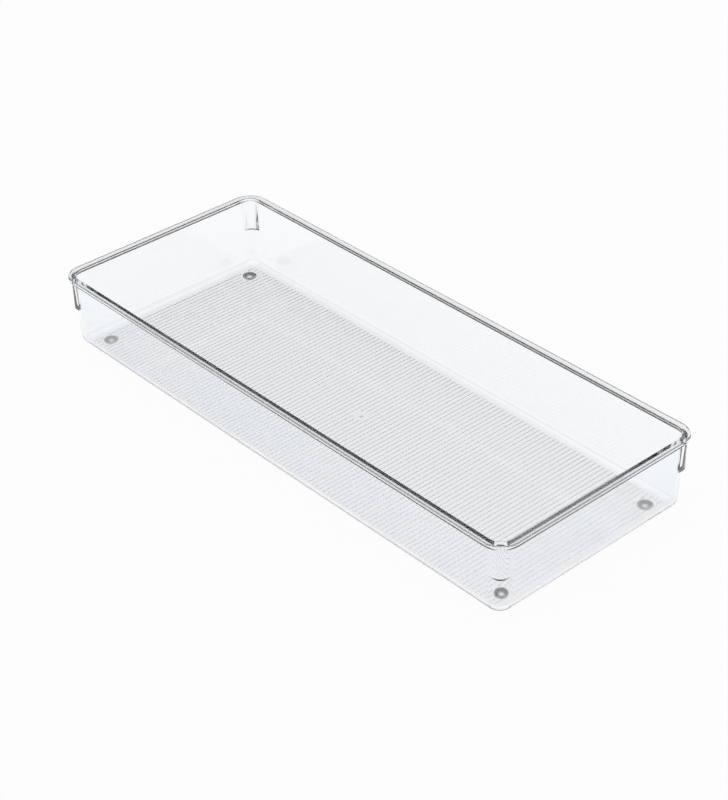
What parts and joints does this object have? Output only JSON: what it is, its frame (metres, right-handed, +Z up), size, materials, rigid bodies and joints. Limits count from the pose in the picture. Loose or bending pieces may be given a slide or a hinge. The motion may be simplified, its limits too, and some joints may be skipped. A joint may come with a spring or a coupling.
{
  "type": "drawer organizer insert",
  "caption": "Clear moulded drawer organizer tray, long and shallow, with a beaded rim, corner lugs, a fluted underside and small domed stick-on feet.",
  "frame": {"origin": "centre of the footprint, on the surface that the feet stand on", "axes": "+X along the tray's length, -Y the front long side, +Z up out of the tray"},
  "size_m": [0.381, 0.1524, 0.0508],
  "materials": {
    "clear_moulding": "clear polished",
    "clear_foot": "clear soft"
  },
  "bodies": {
    "root": {"tray": "clear_moulding", "foot_front_left": "clear_foot", "foot_front_right": "clear_foot", "foot_back_left": "clear_foot", "foot_back_right": "clear_foot"}
  },
  "joints": []
}
